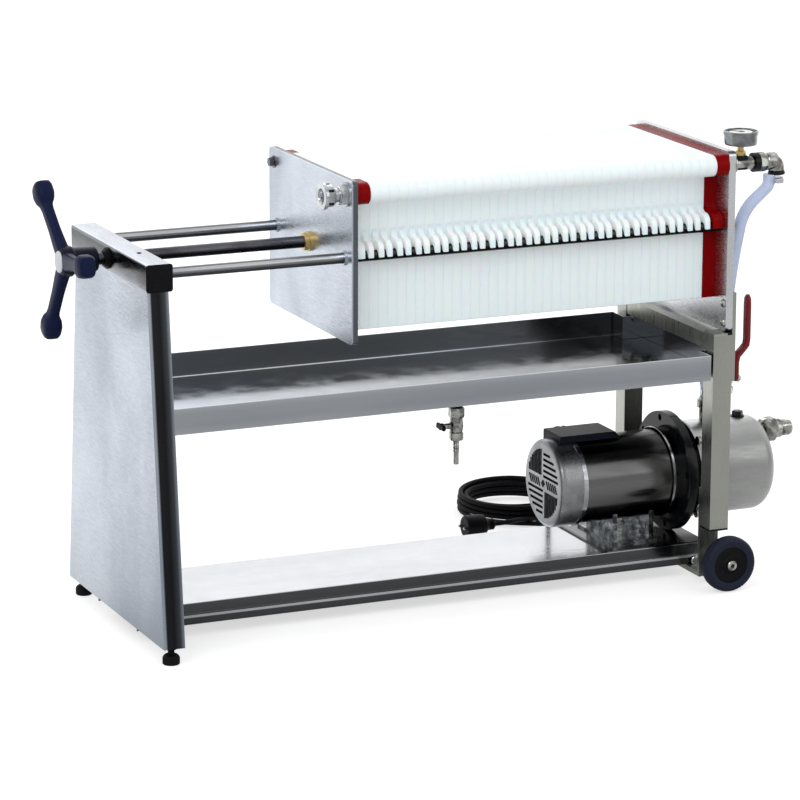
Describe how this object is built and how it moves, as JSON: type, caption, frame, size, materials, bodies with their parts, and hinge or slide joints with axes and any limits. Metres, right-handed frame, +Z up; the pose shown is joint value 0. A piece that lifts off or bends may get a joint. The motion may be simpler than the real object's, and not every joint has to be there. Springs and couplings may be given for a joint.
{
  "type": "plate filter press with transfer pump",
  "caption": "Wheeled stainless plate filter press: screw-closed pack of lugged plates on rods over a drip tray, with transfer pump, gauge and hoses.",
  "frame": {"origin": "on the floor, under the middle of the overall length and width, without the free cord", "axes": "+X along the machine from the handwheel to the pump, +Y to the far side, +Z up"},
  "size_m": [1.244, 0.6824, 0.72],
  "materials": {
    "steel": "satin brushed stainless",
    "bright": "bright",
    "black_plastic": "matte",
    "white_plastic": "translucent white",
    "red_plastic": "satin",
    "red_paint": "dipped vinyl",
    "paper": "filter sheet",
    "black_paint": "gloss",
    "rubber": "matte",
    "tyre": "grey-blue rubber",
    "brass": "machined",
    "hose": "translucent tube",
    "dark_steel": "dark polished"
  },
  "bodies": {
    "frame": {"axle_bar": "steel", "axle_bolts": "bright", "beam_caps": "black_plastic", "cord_coil": "rubber", "cord_gland": "black_plastic", "cord_plug": "rubber", "cord_tail": "rubber", "cord_tube": "rubber", "delivery_hose": "hose", "drain_tap": "bright", "drip_tray": "steel", "end_panel": "steel", "end_plate_head": "red_plastic", "end_plate_tail": "red_plastic", "fan_cover": "bright", "feet": "rubber", "filter_pads": "paper", "filter_plates": "white_plastic", "fixed_plate": "steel", "gauge": "bright", "gauge_pipe": "bright", "guide_rod_far": "steel", "guide_rod_near": "steel", "inlet_elbow": "bright", "leg_far": "steel", "leg_near": "steel", "leg_plugs": "black_plastic", "leg_straps": "steel", "leg_tie": "steel", "motor_body": "steel", "motor_flange": "black_paint", "motor_foot": "bright", "motor_stand": "steel", "outlet_hose": "hose", "outlet_neck": "bright", "outlet_valve": "bright", "priming_plug": "black_plastic", "pump_body": "steel", "rod_nuts": "bright", "screw_nut": "black_plastic", "shelf": "steel", "suction_union": "bright", "terminal_box": "black_plastic", "top_beam": "steel", "wheel_hangers": "steel"},
    "pressure_head": {"pressure_head": "steel", "thrust_collar": "brass", "bleed_fitting": "bright"},
    "screw": {"screw": "dark_steel", "handwheel": "black_plastic", "handwheel_cap": "bright"},
    "near_wheel": {"wheel_near": "tyre"},
    "far_wheel": {"wheel_far": "tyre"},
    "valve_lever": {"valve_lever": "red_paint"},
    "drain_handle": {"drain_handle": "black_plastic"}
  },
  "joints": [
    {"name": "head_slide", "type": "slide", "parent": "frame", "child": "pressure_head", "axis": [-1, 0, 0], "range_m": [0, 0.24]},
    {"name": "screw_turn", "type": "hinge", "parent": "pressure_head", "child": "screw", "pos_m": [-0.5274, 0, 0.572], "axis": [-1, 0, 0], "range_deg": [0, 21600]},
    {"name": "near_wheel_roll", "type": "hinge", "parent": "frame", "child": "near_wheel", "pos_m": [0.4192, -0.1805, 0.044], "axis": [0, 1, 0], "continuous": true},
    {"name": "far_wheel_roll", "type": "hinge", "parent": "frame", "child": "far_wheel", "pos_m": [0.4192, 0.1805, 0.044], "axis": [0, 1, 0], "continuous": true},
    {"name": "valve_turn", "type": "hinge", "parent": "frame", "child": "valve_lever", "pos_m": [0.4604, -0.111, 0.322], "axis": [1, 0, 0], "range_deg": [0, 90]},
    {"name": "drain_turn", "type": "hinge", "parent": "frame", "child": "drain_handle", "pos_m": [-0.0387, -0.105, 0.2911], "axis": [1, 0, 0], "range_deg": [0, 90]}
  ],
  "couplings": [
    {"joint": "screw_turn", "follows": "head_slide", "rad_per_m": 1570.8}
  ]
}
